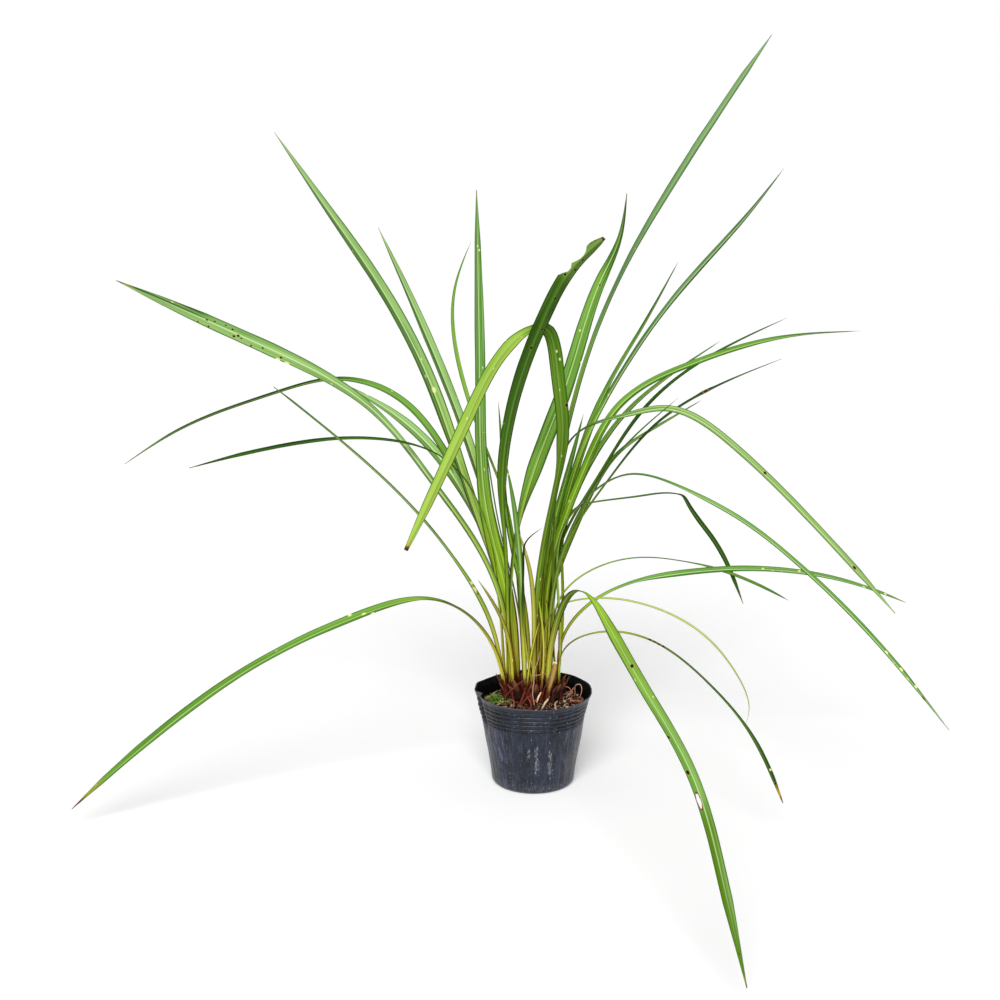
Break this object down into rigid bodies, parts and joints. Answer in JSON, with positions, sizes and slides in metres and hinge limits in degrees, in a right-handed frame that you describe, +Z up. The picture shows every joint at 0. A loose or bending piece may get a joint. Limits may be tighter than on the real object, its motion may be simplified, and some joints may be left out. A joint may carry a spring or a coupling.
{
  "type": "potted new zealand flax",
  "caption": "Young New Zealand flax with long arching strap leaves, growing from one crown in a soft round nursery pot with a grooved band.",
  "frame": {"origin": "centre of the pot's underside, on the ground", "axes": "+Z up; -Y is the side the picture was taken from, with +X to the right"},
  "size_m": [0.8643, 0.7466, 0.757],
  "materials": {
    "pot": "soft blue-black plastic, scuffed",
    "soil": "loose bark and peat",
    "moss": "soft moss",
    "crown": "rough root stock",
    "leaf_green": "satin leaf",
    "leaf_bright": "satin leaf",
    "leaf_blue_green": "satin leaf",
    "leaf_dark": "satin leaf",
    "leaf_yellow": "satin leaf",
    "leaf_dry": "dry leaf",
    "sheath": "old dry leaf base",
    "root": "bare root"
  },
  "bodies": {
    "root": {"pot": "pot", "soil": "soil", "moss": "moss", "crown": "crown", "cut_stub": "leaf_dry", "leaf_tall_left": "leaf_green", "leaf_left_slim": "leaf_green", "leaf_left_curled": "leaf_bright", "leaf_upright": "leaf_green", "leaf_left_spotted": "leaf_green", "leaf_left_middle": "leaf_green", "leaf_left_drooping": "leaf_blue_green", "leaf_left_level": "leaf_blue_green", "leaf_left_thin": "leaf_blue_green", "leaf_left_low": "leaf_green", "leaf_folded": "leaf_bright", "leaf_bitten": "leaf_dark", "leaf_broad_right": "leaf_bright", "leaf_centre_front": "leaf_green", "leaf_centre_yellow": "leaf_yellow", "leaf_left_inner": "leaf_green", "leaf_centre_inner": "leaf_green", "leaf_right_inner": "leaf_green", "leaf_tallest": "leaf_blue_green", "leaf_right_high": "leaf_blue_green", "leaf_right_bright": "leaf_bright", "leaf_right_long": "leaf_green", "leaf_back_right": "leaf_blue_green", "leaf_right_thin": "leaf_dark", "leaf_right_knotted": "leaf_dark", "leaf_back_slender": "leaf_green", "leaf_right_short": "leaf_green", "leaf_right_arch_high": "leaf_green", "leaf_right_arch_low": "leaf_green", "leaf_right_level": "leaf_green", "leaf_right_fine": "leaf_green", "leaf_kinked": "leaf_dark", "leaf_front_long": "leaf_bright", "leaf_front_yellow": "leaf_yellow", "leaf_front_fine": "leaf_yellow", "leaf_left_orange": "leaf_yellow", "leaf_dry_curl": "leaf_dry", "leaf_short_dry": "leaf_dry", "leaf_short_bright": "leaf_bright", "leaf_short_yellow": "leaf_yellow", "sheath_front_left": "sheath", "sheath_front": "sheath", "sheath_front_right": "sheath", "sheath_left": "sheath", "sheath_right": "sheath", "sheath_back": "sheath", "root_front": "root", "root_right": "root", "root_right_end": "root"}
  },
  "joints": []
}
